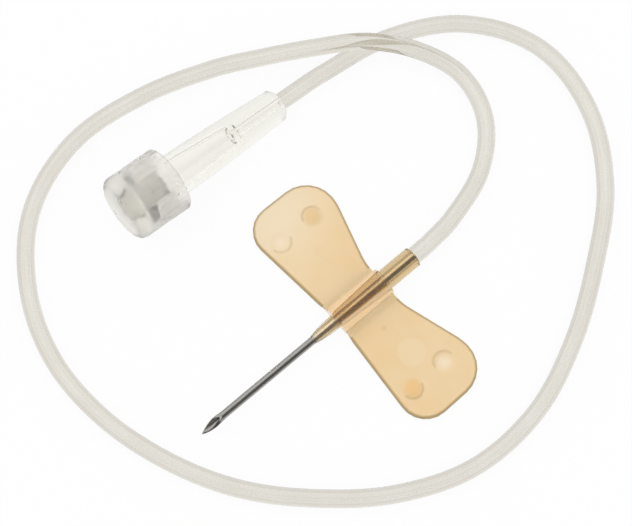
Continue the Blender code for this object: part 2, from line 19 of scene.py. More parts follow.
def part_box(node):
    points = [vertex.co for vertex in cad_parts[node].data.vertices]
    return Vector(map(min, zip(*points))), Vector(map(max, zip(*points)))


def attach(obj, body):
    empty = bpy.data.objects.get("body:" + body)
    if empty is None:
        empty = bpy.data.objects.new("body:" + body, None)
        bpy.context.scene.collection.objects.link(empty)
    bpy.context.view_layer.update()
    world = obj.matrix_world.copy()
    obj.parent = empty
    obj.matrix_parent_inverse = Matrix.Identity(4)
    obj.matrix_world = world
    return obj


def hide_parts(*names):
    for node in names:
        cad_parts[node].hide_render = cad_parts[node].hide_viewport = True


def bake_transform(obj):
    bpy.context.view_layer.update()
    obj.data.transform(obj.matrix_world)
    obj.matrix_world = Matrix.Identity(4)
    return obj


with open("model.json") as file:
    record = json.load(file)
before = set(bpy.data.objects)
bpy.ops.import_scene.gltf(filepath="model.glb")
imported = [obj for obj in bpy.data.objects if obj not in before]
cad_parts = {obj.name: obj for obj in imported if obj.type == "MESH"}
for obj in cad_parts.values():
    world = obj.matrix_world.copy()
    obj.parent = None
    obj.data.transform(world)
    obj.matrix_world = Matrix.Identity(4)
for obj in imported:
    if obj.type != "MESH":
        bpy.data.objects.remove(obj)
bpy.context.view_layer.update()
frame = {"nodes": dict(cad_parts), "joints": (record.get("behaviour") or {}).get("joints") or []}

MM = 0.001

# %% [markdown]
# ## The camera
# The photograph looks down steeply, 17 degrees off the vertical, from beside the needle's point.
# A point on the table in the middle of the picture, a turn, an elevation and a distance say the
# same thing as a camera's location and rotation, and are easier to reason about.

# %% Camera
VIEW_CENTRE = Vector((-8.507, -0.709, 0.0)) * MM
VIEW_TURN = radians(-40.85)
VIEW_ELEVATION = radians(73)
VIEW_DISTANCE = 305.8 * MM
SENSOR_WIDTH = 36.0
LENS = 125.3
NEAREST_SEEN = 10 * MM

toward_camera = Vector((
    cos(VIEW_ELEVATION) * cos(VIEW_TURN),
    cos(VIEW_ELEVATION) * sin(VIEW_TURN),
    sin(VIEW_ELEVATION),
))
camera = bpy.data.objects.new("photo_camera", bpy.data.cameras.new("photo_camera"))
camera.data.lens = LENS
camera.data.sensor_width = SENSOR_WIDTH
camera.data.clip_start = NEAREST_SEEN
camera.location = VIEW_CENTRE + toward_camera * VIEW_DISTANCE
camera.rotation_euler = toward_camera.to_track_quat("Z", "Y").to_euler()
bpy.context.scene.collection.objects.link(camera)
bpy.context.scene.camera = camera
print("camera at", [round(value, 4) for value in camera.location])

# %% [markdown]
# ## Where the connector lies
# The connector is a slim cone. It rests on the table at its thin end and at the rim of its cap,
# so it is pitched a little. Its place is worked out from those two radii, as in the CAD model. The
# cap's sliding joint runs along the same axis, which gives a check on the turn.

# %% Connector place
LUER_END = (-29.25 * MM, 10.1 * MM)
LUER_HEADING = radians(-91.9)
LUER_END_R = 2.40
CAP_OUTER_R = 4.86
CAP_RIM_AT = 19.2

luer_pitch = asin((CAP_OUTER_R - LUER_END_R) / CAP_RIM_AT)
luer_place = (
    Matrix.Translation((*LUER_END, LUER_END_R * MM * cos(luer_pitch)))
    @ Matrix.Rotation(LUER_HEADING, 4, "Z")
    @ Matrix.Rotation(pi / 2 - luer_pitch, 4, "Y")
)
luer_axis = luer_place.to_3x3() @ Vector((0.0, 0.0, 1.0))
cap_joint = next(joint for joint in frame["joints"] if joint["name"] == "cap_pull")
print("turn off the joint's axis", round(luer_axis.angle(Vector(cap_joint["axis"])), 6))

# %% [markdown]
# ## The tubing's route
# The tubing is 300 mm of soft vinyl between hub and connector. It lies on the table in one wide
# loop and passes over itself once, in a long low hump. The points are the CAD model's own, chosen
# along the photograph's tubing, and a smooth curve runs through them. Inside the hub and the
# connector the real tubing is welded in with solvent, so no surface of it is left there: the
# route starts and ends just inside them.

# %% Tubing route
HUB_AXIS_Z = 1.90 * MM
HUB_NOSE_Y = -8.65 * MM
HUB_LENGTH = 18.35
TUBE_R = 1.25
TUBE_LIFT = 0.05
TUBE_STRAIGHT = 2.5 * MM
TUBE_STEP = 0.8 * MM
CURVE_STEPS = 24
WELD_DEPTH = 0.05 * MM
TUBE_ROUTE = (
    (-0.7, 17.6, 0.08), (-3.4, 25.4, 0.0), (-8.7, 31.0, 0.0), (-15.7, 32.9, 0.04),
    (-22.2, 30.5, 0.44), (-27.6, 25.4, 1.1), (-32.3, 19.3, 0.6), (-36.3, 13.2, 0.12),
    (-39.7, 6.7, 0.0), (-43.1, -3.7, 0.0), (-44.0, -15.1, 0.0), (-40.0, -25.8, 0.0),
    (-31.6, -33.3, 0.0), (-21.5, -37.1, 0.0), (-10.9, -37.2, 0.0), (-0.6, -34.5, 0.0),
    (8.7, -29.7, 0.0), (16.6, -22.7, 0.0), (23.4, -13.9, 0.0), (27.5, -3.5, 0.0),
    (27.3, 7.8, 0.0), (23.3, 18.4, 0.0), (17.2, 28.1, 0.0), (9.8, 37.0, 0.0),
    (-0.2, 43.1, 0.0), (-11.5, 44.2, 0.0), (-21.2, 38.7, 0.0), (-26.8, 29.2, 0.0),
    (-28.9, 17.9, 0.05),
)


def smooth_path(points, step):
    """Even points on a smooth curve through the given ones."""
    before = [points[0], *points]
    after = [*points[1:], points[-1]]
    ways = [(end - start).normalized() for start, end in zip(before, after)]
    fine = [points[0]]
    for start, end, way_out, way_in in zip(points, points[1:], ways, ways[1:]):
        reach = (end - start).length / 3
        handles = (start, start + way_out * reach, end - way_in * reach, end)
        fine.extend(interpolate_bezier(*handles, CURVE_STEPS)[1:])
    runs = [0.0]
    for start, end in zip(fine, fine[1:]):
        runs.append(runs[-1] + (end - start).length)
    count = round(runs[-1] / step)
    path = [fine[0]]
    index = 0
    for number in range(1, count):
        target = runs[-1] * number / count
        while runs[index + 1] < target:
            index += 1
        share = (target - runs[index]) / (runs[index + 1] - runs[index])
        path.append(fine[index].lerp(fine[index + 1], share))
    path.append(fine[-1])
    return path


hub_rear_y = HUB_NOSE_Y + HUB_LENGTH * MM
tube_exit = Vector((0.0, hub_rear_y, HUB_AXIS_Z))
points = [Vector((0.0, hub_rear_y + TUBE_STRAIGHT, HUB_AXIS_Z))]
for x, y, lift in TUBE_ROUTE:
    points.append(Vector((x, y, TUBE_R + TUBE_LIFT + lift * 2 * TUBE_R)) * MM)
points.append(luer_place @ Vector((0.0, 0.0, -TUBE_STRAIGHT)))
tube_path = [
    tube_exit - Vector((0.0, WELD_DEPTH, 0.0)),
    *smooth_path(points, TUBE_STEP),
    luer_place @ Vector((0.0, 0.0, WELD_DEPTH)),
]
tube_length = sum((end - start).length for start, end in zip(tube_path, tube_path[1:]))
print("tubing", round(tube_length / MM, 1), "mm long,", len(tube_path), "points")

# %% [markdown]
# ## Small helpers for meshes
# A bmesh is Blender's editable mesh in memory. Each piece is built in one, written into a mesh at
# the origin with its place in its points, and given smooth shading that stops at real edges.

# %% Mesh helpers
SHARP_ANGLE = radians(35)
MERGE_DISTANCE = 0.001 * MM
FLAT_ANGLE = radians(0.5)


def new_object(name, work, material):
    """Write a bmesh into the mesh of a new object, in one material."""
    mesh = bpy.data.meshes.new(name)
    work.to_mesh(mesh)
    work.free()
    mesh.materials.append(material)
    made = bpy.data.objects.new(name, mesh)
    bpy.context.scene.collection.objects.link(made)
    print(name, len(mesh.polygons), "faces")
    return made


def finish_piece(name, work, material, body, sharp=SHARP_ANGLE):
    """Make a piece of the needle set, shade it smooth and put it on its body."""
    piece = new_object(name, work, material)
    piece.data.shade_smooth()
    piece.data.set_sharp_from_angle(angle=sharp)
    if body:
        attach(piece, body)
    return piece


def turned(profile, steps, closed=True):
    """Spin a profile of (radius, height) pairs in millimetres round the Z axis."""
    work = bmesh.new()
    corners = [work.verts.new((radius * MM, 0.0, height * MM)) for radius, height in profile]
    edges = [work.edges.new(pair) for pair in zip(corners, corners[1:])]
    if closed:
        edges.append(work.edges.new((corners[-1], corners[0])))
    bmesh.ops.spin(
        work,
        geom=corners + edges,
        axis=(0.0, 0.0, 1.0),
        cent=(0.0, 0.0, 0.0),
        angle=2 * pi,
        steps=steps,
        use_merge=True,
    )
    bmesh.ops.remove_doubles(work, verts=work.verts, dist=MERGE_DISTANCE)
    bmesh.ops.recalc_face_normals(work, faces=work.faces)
    return work


def arc(centre, radius, start, end, steps):
    """Points on an arc, with both ends."""
    turns = [start + (end - start) * step / steps for step in range(steps + 1)]
    return [(centre[0] + radius * cos(turn), centre[1] + radius * sin(turn)) for turn in turns]


def ramp(value, start, end):
    """0 before start, 1 after end, smooth between."""
    share = min(max((value - start) / (end - start), 0.0), 1.0)
    return share * share * (3 - 2 * share)


def merged_copy(node):
    """The CAD node's loose triangles, joined into one skin in a bmesh."""
    work = bmesh.new()
    work.from_mesh(frame["nodes"][node].data)
    bmesh.ops.remove_doubles(work, verts=work.verts, dist=MERGE_DISTANCE)
    return work


# %% [markdown]
# ## Small helpers for materials
# One function turns the hex colours that a paint chart or a picture gives into the linear values
# that light is added up in. One adds a node with its settings and links. A pattern's scale is
# written as a real size, which becomes repeats per metre. Noise values crowd round their middle,
# so the range that most of them lie in is spread over the range that is wanted. A Mix node has
# sockets for numbers, vectors and colours under the same names, so the colours' are taken by
# their numbers.

# %% Material helpers
NOISE_RANGE = {"From Min": 0.3, "From Max": 0.7}
SMOOTH = {"interpolation_type": "SMOOTHSTEP"}
COLOURS = {"data_type": "RGBA"}
FIRST, SECOND, MIXED = 6, 7, 2


def linear(hex_colour):
    """An sRGB hex colour as linear red, green, blue and alpha, by the standard's own curve."""
    channels = []
    for start in (1, 3, 5):
        value = int(hex_colour[start:start + 2], 16) / 255
        channels.append(value / 12.92 if value <= 0.04045 else ((value + 0.055) / 1.055) ** 2.4)
    return (*channels, 1.0)


def add_node(tree, kind, inputs=(), **settings):
    """Add a shader node, set its options, and set or link its inputs."""
    made = tree.nodes.new("ShaderNode" + kind)
    for option, value in settings.items():
        setattr(made, option, value)
    for socket, value in dict(inputs).items():
        if isinstance(value, bpy.types.NodeSocket):
            tree.links.new(value, made.inputs[socket])
        else:
            made.inputs[socket].default_value = value
    return made


def new_material(name, **sockets):
    """A material, its node tree, its shader and its object coordinates."""
    material = bpy.data.materials.new(name)
    material.use_nodes = True
    tree = material.node_tree
    shader = tree.nodes["Principled BSDF"]
    for socket, value in sockets.items():
        shader.inputs[socket.replace("_", " ").title().replace("Ior", "IOR")].default_value = value
    place = add_node(tree, "TexCoord").outputs["Object"]
    return material, tree, shader, place


def repeats(size_mm):
    """A texture scale whose features are about this many millimetres wide."""
    return 1 / (size_mm * MM)


def count_nodes(*materials):
    """Print how many nodes each material has."""
    for material in materials:
        print(material.name, len(material.node_tree.nodes), "nodes")


# %% [markdown]
# ## Steel
# The cannula is stainless steel tube, drawn through dies, polished along its length and then
# ground at the point. Drawing leaves fine lines along the tube, so its gloss is a little broken
# up. The noise is stretched along Y to make those lines, 0.05 mm apart, which is coarser than the
# real ones so that they still show. Steel reflects about half of the light, hence the mid grey.
# The stretch that is glued into the hub is painted paler, a painted reflection that shows as a
# light stripe inside the amber plastic.

# %% Drawn stainless steel
DRAWN_LINE_WIDTH = 0.05
DRAWN_LINE_STRETCH = 0.02
DRAWN_LINE_DEPTH = 0.002
FINE_DETAIL = 2.0
STEEL_LIGHT = linear("#B9B7B2")
STEEL_DARK = linear("#A6A49F")
STEEL_RIM = linear("#8E8C88")
STEEL_PAINTED_PALE = linear("#E2DACB")
STEEL_GLOSS = (0.22, 0.34)
PAINTED_PALE_FROM = (-8.7, -8.0)


def drawn_steel():
    """Grey steel with fine lines along it, painted paler from the hub's nose on."""
    material, tree, shader, place = new_material(
        "drawn_stainless_steel",
        metallic=1.0,
        specular_tint=STEEL_RIM,
    )
    lines = add_node(tree, "Mapping", {
        "Vector": place,
        "Scale": (1.0, DRAWN_LINE_STRETCH, 1.0),
    }).outputs[0]
    grain = add_node(tree, "TexNoise", {
        "Vector": lines,
        "Scale": repeats(DRAWN_LINE_WIDTH),
        "Detail": FINE_DETAIL,
    }).outputs["Fac"]
    gloss = add_node(tree, "MapRange", {
        "Value": grain,
        **NOISE_RANGE,
        "To Min": STEEL_GLOSS[0],
        "To Max": STEEL_GLOSS[1],
    }).outputs["Result"]
    tree.links.new(gloss, shader.inputs["Roughness"])
    bumps = add_node(tree, "Bump", {
        "Height": grain,
        "Distance": DRAWN_LINE_DEPTH * MM,
        "Strength": 1.0,
    }).outputs["Normal"]
    tree.links.new(bumps, shader.inputs["Normal"])
    share = add_node(tree, "MapRange", {"Value": grain, **NOISE_RANGE}).outputs["Result"]
    drawn = add_node(tree, "Mix", {
        0: share,
        FIRST: STEEL_LIGHT,
        SECOND: STEEL_DARK,
    }, **COLOURS).outputs[MIXED]
    # Painted reflection: the steel is painted paler from the hub's nose on.
    painted_pale = add_node(tree, "MapRange", {
        "Value": add_node(tree, "SeparateXYZ", {0: place}).outputs["Y"],
        "From Min": PAINTED_PALE_FROM[0] * MM,
        "From Max": PAINTED_PALE_FROM[1] * MM,
    }, **SMOOTH).outputs["Result"]
    tone = add_node(tree, "Mix", {
        0: painted_pale,
        FIRST: drawn,
        SECOND: STEEL_PAINTED_PALE,
    }, **COLOURS).outputs[MIXED]
    tree.links.new(tone, shader.inputs["Base Color"])
    return material


steel = drawn_steel()
count_nodes(steel)

# %% [markdown]
# ## Soft cream vinyl
# The wings are plasticised PVC, injection moulded and coloured cream, the code colour of their
# gauge. Light goes a millimetre or so into it and comes out again, so it looks soft. Besides their
# shape, the studs are painted a shade deeper, as painted shade for the thicker vinyl, and the
# dimples paler, as painted light for the thinner vinyl. The faint marks that the mould's ejector
# pins and its gate leave are tones of their own, and the left wing is paler towards its tip. A
# thin darker line round the rim is painted shade, for the light that slips out sideways there. A
# number that each point of the wing's mesh carries says how near the rim it is.
# The face of the mould is spark eroded and leaves a fine satin grain.

# %% Moulded cream vinyl
VINYL = linear("#EED4AA")
VINYL_DEEPER = linear("#ECCF9F")
VINYL_PIN_MARK_AND_STUD_SHADE = linear("#EACB99")
VINYL_STUD_SHADE = linear("#ECC78B")
VINYL_DIMPLE_LIGHT = linear("#F4E1C3")
VINYL_PALER = linear("#F1DFBF")
VINYL_GATE = linear("#DDBA85")
VINYL_RIM_SHADE = linear("#B49B6B")
VINYL_CLOUD = 6.0
VINYL_GRAIN = 0.12
VINYL_GRAIN_DEPTH = 0.003
VINYL_GLOSS = (0.42, 0.55)
VINYL_SOFTNESS = {
    "subsurface_weight": 0.35,
    "subsurface_scale": 0.5 * MM,
    "subsurface_radius": (1.0, 0.75, 0.45),
}
CLOUD_DETAIL = 3.0
RIM_SHADE_NUMBER = "near_rim"
STUD_X = 13.825
STUD_REAR_Y = 3.15
STUD_FRONT_Y = -2.6
# The stud discs are painted shade and the dimple discs painted light.
# A disc's inner radius, outer radius and weight. The last four begin with its x and y as well.
STUD_SPOT = (0.6, 1.9, 1.0)
DIMPLE_SPOT = (0.2, 1.6, 1.0)
# The left wing is paler over a broad disc towards its tip.
LEFT_TIP = (-18.0, -1.0, 1.0, 12.0, 1.0)
LEFT_PIN = (-9.4, 0.6, 0.6, 1.2, 0.25)
RIGHT_PIN = (9.95, 0.7, 1.7, 2.3, 0.35)
RIGHT_GATE = (4.9, 0.05, 0.1, 0.5, 0.5)


def round_mark(tree, place, x, y, inner_mm, outer_mm, weight):
    """Its weight inside a disc on the wing's face, falling to 0 at its outer radius."""
    flat = add_node(tree, "Mapping", {
        "Vector": place,
        "Location": (-x * MM, -y * MM, 0.0),
        "Scale": (1.0, 1.0, 0.0),
    }).outputs[0]
    reach = add_node(tree, "VectorMath", {0: flat}, operation="LENGTH").outputs["Value"]
    return add_node(tree, "MapRange", {
        "Value": reach,
        "From Min": inner_mm * MM,
        "From Max": outer_mm * MM,
        "To Min": weight,
        "To Max": 0.0,
    }, **SMOOTH).outputs["Result"]


def cream_vinyl(name, discs):
    """The vinyl, with a disc of another tone for each mark, stud and dimple, and painted shade at
    the rim.
    """
    material, tree, shader, place = new_material(name, **VINYL_SOFTNESS, ior=1.53)
    blotches = add_node(tree, "TexNoise", {
        "Vector": place,
        "Scale": repeats(VINYL_CLOUD),
        "Detail": CLOUD_DETAIL,
    }).outputs["Fac"]
    tone = add_node(tree, "Mix", {
        0: add_node(tree, "MapRange", {"Value": blotches, **NOISE_RANGE}).outputs["Result"],
        FIRST: VINYL,
        SECOND: VINYL_DEEPER,
    }, **COLOURS).outputs[MIXED]
    shares = [(round_mark(tree, place, *disc), colour) for *disc, colour in discs]
    rim = add_node(tree, "Attribute", attribute_name=RIM_SHADE_NUMBER).outputs["Fac"]
    # Painted shade: the rim is painted darker by the number that each point carries.
    for share, colour in (*shares, (rim, VINYL_RIM_SHADE)):
        inputs = {0: share, FIRST: tone, SECOND: colour}
        tone = add_node(tree, "Mix", inputs, **COLOURS).outputs[MIXED]
    tree.links.new(tone, shader.inputs["Base Color"])
    grain = add_node(tree, "TexNoise", {
        "Vector": place,
        "Scale": repeats(VINYL_GRAIN),
        "Detail": FINE_DETAIL,
    }).outputs["Fac"]
    gloss = add_node(tree, "MapRange", {
        "Value": grain,
        **NOISE_RANGE,
        "To Min": VINYL_GLOSS[0],
        "To Max": VINYL_GLOSS[1],
    }).outputs["Result"]
    tree.links.new(gloss, shader.inputs["Roughness"])
    bumps = add_node(tree, "Bump", {
        "Height": grain,
        "Distance": VINYL_GRAIN_DEPTH * MM,
        "Strength": 1.0,
    }).outputs["Normal"]
    tree.links.new(bumps, shader.inputs["Normal"])
    return material


left_vinyl = cream_vinyl("moulded_vinyl_left", (
    (*LEFT_TIP, VINYL_PALER),
    (*LEFT_PIN, VINYL_PIN_MARK_AND_STUD_SHADE),
    # Painted shade over the stud and painted light in the dimple.
    (-STUD_X, STUD_REAR_Y, *STUD_SPOT, VINYL_PIN_MARK_AND_STUD_SHADE),
    (-STUD_X, STUD_FRONT_Y, *DIMPLE_SPOT, VINYL_DIMPLE_LIGHT),
))
right_vinyl = cream_vinyl("moulded_vinyl_right", (
    (*RIGHT_PIN, VINYL_PALER),
    (*RIGHT_GATE, VINYL_GATE),
    # Painted shade over the stud and painted light in the dimple.
    (STUD_X, STUD_FRONT_Y, *STUD_SPOT, VINYL_STUD_SHADE),
    (STUD_X, STUD_REAR_Y, *DIMPLE_SPOT, VINYL_DIMPLE_LIGHT),
))
fold_vinyl = cream_vinyl("moulded_vinyl_fold", ())
count_nodes(left_vinyl, right_vinyl, fold_vinyl)

# %% [markdown]
# ## Clear and milky plastics
# Five plastics let light through, each its own way. The tubing is soft PVC, extruded, faintly
# milky. The connector is a rigid clear plastic, injection moulded and polished. The cap is
# polypropylene, which is never quite clear, so its gloss is broader. The hub is a smoke-amber
# rigid plastic. The sleeve is the wings' own vinyl, thin enough to see the hub through. The shader
# bends the light at each wall, so the walls and bores are modelled with their real thickness.
# Absorption inside tints the light by how far it goes through the plastic, which is why the
# tubing looks darker through the sides of its wall than through its middle. The haze in each
# plastic is drawn as soft clouds in its colour and gloss. Typical bending, the IOR, is 1.5 for all
# of them. It is set lower here, because the shader takes the far side of each wall to be air, also
# where one plastic sits in the next, and because the photograph's soft light all round hides most
# of the dark lines that 1.5 would draw. The cap's is lower still: with its broad gloss that gives
# the milky look of thick polypropylene, with soft shapes inside.

# %% Clear and milky plastics
SKIN_SOFTNESS = {
    "subsurface_weight": 0.3,
    "subsurface_scale": 1.0 * MM,
    "subsurface_radius": (1.0, 0.9, 0.8),
}
HAZE_SHARE = 0.2
RIPPLE_DETAIL = 1.0


def hazy(tree, shader, place, cloud_mm, roughness):
    """Let the gloss drift a little, as haze does, and give the haze for the colour to follow."""
    haze = add_node(tree, "TexNoise", {
        "Vector": place,
        "Scale": repeats(cloud_mm),
        "Detail": CLOUD_DETAIL,
    }).outputs["Fac"]
    gloss = add_node(tree, "MapRange", {
        "Value": haze,
        **NOISE_RANGE,
        "To Min": roughness * (1 - HAZE_SHARE),
        "To Max": roughness * (1 + HAZE_SHARE),
    }).outputs["Result"]
    tree.links.new(gloss, shader.inputs["Roughness"])
    return add_node(tree, "MapRange", {"Value": haze, **NOISE_RANGE}).outputs["Result"]


def see_through(name, tints, kept, roughness, cloud_mm, ripples=None, **sockets):
    """A plastic that passes a share of the light and scatters the rest under its skin.

    The colour kept is about what each millimetre of it leaves of white light.
    """
    material, tree, shader, place = new_material(name, **SKIN_SOFTNESS, **sockets)
    tone = add_node(tree, "Mix", {
        0: hazy(tree, shader, place, cloud_mm, roughness),
        FIRST: linear(tints[0]),
        SECOND: linear(tints[1]),
    }, **COLOURS).outputs[MIXED]
    tree.links.new(tone, shader.inputs["Base Color"])
    if ripples:
        width, depth = ripples
        waves = add_node(tree, "TexNoise", {
            "Vector": place,
            "Scale": repeats(width),
            "Detail": RIPPLE_DETAIL,
        }).outputs["Fac"]
        bumps = add_node(tree, "Bump", {
            "Height": waves,
            "Distance": depth * MM,
            "Strength": 1.0,
        }).outputs["Normal"]
        tree.links.new(bumps, shader.inputs["Normal"])
    inside = add_node(tree, "VolumeAbsorption", {"Color": linear(kept), "Density": 1 / MM})
    tree.links.new(inside.outputs[0], tree.nodes["Material Output"].inputs["Volume"])
    return material


extruded_tube = see_through(
    "extruded_clear_vinyl",
    ("#FFFFFD", "#FCFBF8"),
    kept="#EFEDE9",
    roughness=0.02,
    cloud_mm=6.0,
    transmission_weight=1.0,
    ior=1.33,
)
moulded_clear = see_through(
    "moulded_clear_plastic",
    ("#FFFEFC", "#FDFCF9"),
    kept="#FEFEFD",
    roughness=0.03,
    cloud_mm=5.0,
    ripples=(2.5, 0.003),
    transmission_weight=0.99,
    ior=1.40,
)
moulded_cap = see_through(
    "moulded_polypropylene",
    ("#FFFDFA", "#FCFAF6"),
    kept="#FEFEFD",
    roughness=0.33,
    cloud_mm=2.5,
    ripples=(0.8, 0.004),
    transmission_weight=0.78,
    ior=1.16,
)
smoke_plastic = see_through(
    "moulded_smoke_plastic",
    ("#FFF8EA", "#FCF3E2"),
    kept="#F1E7CE",
    roughness=0.03,
    cloud_mm=3.0,
    transmission_weight=0.96,
    ior=1.36,
)
count_nodes(extruded_tube, moulded_clear, moulded_cap, smoke_plastic)

# %% [markdown]
# ## The sleeve's thin vinyl
# Over the hub the sleeve is a thin skin with no air under it, so the hub and its steel show
# through. Beside the hub the vinyl is a millimetre and more of solid cream. One material does
# both: it measures how far a point is beside the hub's flank, and passes less light there. The
# low part of the sleeve stays clear, so that the white table's light comes through from below,
# as it does in the photograph. Light hardly bends on its way from the vinyl into the hub that it
# touches, so the IOR is close to 1, and a thin coat at 1.5 gives the outside its gloss.

# %% Sleeve vinyl
SLEEVE_SKIN = (linear("#FFFEFB"), linear("#FFFDF8"))
SLEEVE_FLANK = (linear("#F8E4C4"), linear("#F6E0BC"))
SLEEVE_KEPT = linear("#FFF2DC")
SLEEVE_CLOUD = 3.0
SLEEVE_ROUGHNESS = 0.04
SLEEVE_EDGE = (-0.3, 0.15)
SLEEVE_UPPER = (0.4, 0.9)
SLEEVE_CLEAR = (0.97, 0.5)
HUB_FRONT_R = 0.95
HUB_REAR_R = 1.52
HUB_CONE_LENGTH = 2.3
HUB_TAPER_END = 13.85
HUB_TAPER = (HUB_REAR_R - HUB_FRONT_R) / (HUB_TAPER_END - HUB_CONE_LENGTH)


def beside_hub(tree, place):
    """How far a point is outside the hub's flank, in metres, below zero over the hub."""
    parts = add_node(tree, "SeparateXYZ", {0: place}).outputs
    across = add_node(tree, "Math", {0: parts["X"]}, operation="ABSOLUTE").outputs[0]
    middle_r = HUB_FRONT_R * MM - (HUB_NOSE_Y + HUB_CONE_LENGTH * MM) * HUB_TAPER
    hub_r = add_node(
        tree,
        "Math",
        {0: parts["Y"], 1: HUB_TAPER, 2: middle_r},
        operation="MULTIPLY_ADD",
    ).outputs[0]
    return add_node(tree, "Math", {0: across, 1: hub_r}, operation="SUBTRACT").outputs[0]


def thin_vinyl():
    """Cream vinyl round the hub: a clear skin over it, milky beside it."""
    material, tree, shader, place = new_material(
        "moulded_vinyl_sleeve",
        **VINYL_SOFTNESS,
        ior=1.10,
        coat_weight=0.3,
        coat_ior=1.5,
        coat_roughness=0.3,
    )
    haze = hazy(tree, shader, place, SLEEVE_CLOUD, SLEEVE_ROUGHNESS)
    skin, flank = (
        add_node(tree, "Mix", {0: haze, FIRST: first, SECOND: second}, **COLOURS).outputs[MIXED]
        for first, second in (SLEEVE_SKIN, SLEEVE_FLANK)
    )
    beyond = add_node(tree, "MapRange", {
        "Value": beside_hub(tree, place),
        "From Min": SLEEVE_EDGE[0] * MM,
        "From Max": SLEEVE_EDGE[1] * MM,
    }, **SMOOTH).outputs["Result"]
    upper = add_node(tree, "MapRange", {
        "Value": add_node(tree, "SeparateXYZ", {0: place}).outputs["Z"],
        "From Min": SLEEVE_UPPER[0] * MM,
        "From Max": SLEEVE_UPPER[1] * MM,
    }, **SMOOTH).outputs["Result"]
    milky = add_node(tree, "Math", {0: beyond, 1: upper}, operation="MULTIPLY").outputs[0]
    tone = add_node(tree, "Mix", {0: milky, FIRST: skin, SECOND: flank}, **COLOURS)
    tree.links.new(tone.outputs[MIXED], shader.inputs["Base Color"])
    clear = add_node(tree, "MapRange", {
        "Value": milky,
        "To Min": SLEEVE_CLEAR[0],
        "To Max": SLEEVE_CLEAR[1],
    }, **SMOOTH).outputs["Result"]
    tree.links.new(clear, shader.inputs["Transmission Weight"])
    inside = add_node(tree, "VolumeAbsorption", {"Color": SLEEVE_KEPT, "Density": 1 / MM})
    tree.links.new(inside.outputs[0], tree.nodes["Material Output"].inputs["Volume"])
    return material


sleeve_vinyl = thin_vinyl()
count_nodes(sleeve_vinyl)

# %% [markdown]
# ## The tubing
# A curve with a bevel makes a solid rod. This tube is hollow, and its bore shows, so it is two
# swept skins, the inner one turned inside out, joined by a ring at each end.

# %% Tubing
TUBE_BORE_R = 0.55
TUBE_ROUNDNESS = 22


def swept_skin(path, radius):
    """The open skin of a round bar along a path."""
    curve = bpy.data.curves.new("skin", "CURVE")
    curve.dimensions = "3D"
    curve.bevel_depth = radius * MM
    curve.bevel_resolution = TUBE_ROUNDNESS
    spline = curve.splines.new("POLY")
    spline.points.add(len(path) - 1)
    for point, place in zip(spline.points, path):
        point.co = (*place, 1.0)
    holder = bpy.data.objects.new("skin", curve)
    bpy.context.scene.collection.objects.link(holder)
    graph = bpy.context.evaluated_depsgraph_get()
    mesh = bpy.data.meshes.new_from_object(holder.evaluated_get(graph))
    bpy.data.objects.remove(holder, do_unlink=True)
    return mesh


def hollow_tube(path, outer_r, bore_r):
    """A tube with a wall and an open bore."""
    work = bmesh.new()
    work.from_mesh(swept_skin(path, outer_r))
    outer_count = len(work.faces)
    work.from_mesh(swept_skin(path, bore_r))
    work.faces.ensure_lookup_table()
    bmesh.ops.reverse_faces(work, faces=work.faces[outer_count:])
    rims = [edge for edge in work.edges if edge.is_boundary]
    for end in (path[0], path[-1]):
        ring = [edge for edge in rims if (edge.verts[0].co - end).length < 2 * outer_r * MM]
        bmesh.ops.bridge_loops(work, edges=ring)
    bmesh.ops.recalc_face_normals(work, faces=work.faces)
    return work


tube = finish_piece(
    "vinyl_tubing",
    hollow_tube(tube_path, TUBE_R, TUBE_BORE_R),
    extruded_tube,
    "needle_set",
)
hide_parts("tubing")

# %% [markdown]
# ## The cannula
# The CAD model has its shape right: the bore, the slight flare of the point and the three ground
# facets. A merged copy gets smooth shading that keeps those facets' edges. In the real needle the
# steel runs on through the hub to the tubing's end, and shows through the amber plastic, so the
# copy's rear end is moved back to the rear of the hub.

# %% Cannula
POINT_SHARP = radians(25)
REAR_RING_DEPTH = 0.5 * MM
STEEL_END_INSET = 0.02 * MM

work = merged_copy("cannula")
bmesh.ops.dissolve_limit(work, angle_limit=FLAT_ANGLE, verts=work.verts, edges=work.edges)
steel_rear_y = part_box("cannula")[1].y
rear_ring = [vertex for vertex in work.verts if vertex.co.y > steel_rear_y - REAR_RING_DEPTH]
shift = hub_rear_y - STEEL_END_INSET - steel_rear_y
bmesh.ops.translate(work, verts=rear_ring, vec=(0.0, shift, 0.0))
print("steel runs", round(shift / MM, 2), "mm on through the hub")
cannula = finish_piece(
    "steel_cannula",
    work,
    steel,
    "needle_set",
    sharp=POINT_SHARP,
)
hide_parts("cannula")

# %% [markdown]
# ## The hub
# The hub is a slim taper with the cannula glued in its nose and the tubing welded into its rear.
# It is turned from its profile with 96 steps, so that the steel inside shows through it as a
# smooth dark core. The plastic grips the steel without any air between, so its bore is made a
# hair smaller than the steel, by more than the flats of the steel's mesh dip below its true
# round. A bead of glue rounds off the corner where the steel goes in.

# %% Hub
HUB_STEPS = 96
CANNULA_R = 0.55
STEEL_GRIP = 0.03
GRIP = 0.005
HUB_EDGE_R = 0.14
GLUE_BEAD = ((0.57, 0.0), (0.63, 0.25), (0.70, 0.6), (0.80, 1.15), (0.88, 1.7))
ROUND_STEPS = 4


def hub_radius(height):
    """The hub's outside radius behind its cone."""
    swollen_r = HUB_FRONT_R + (height - HUB_CONE_LENGTH) * HUB_TAPER
    return min(max(swollen_r, HUB_FRONT_R), HUB_REAR_R)


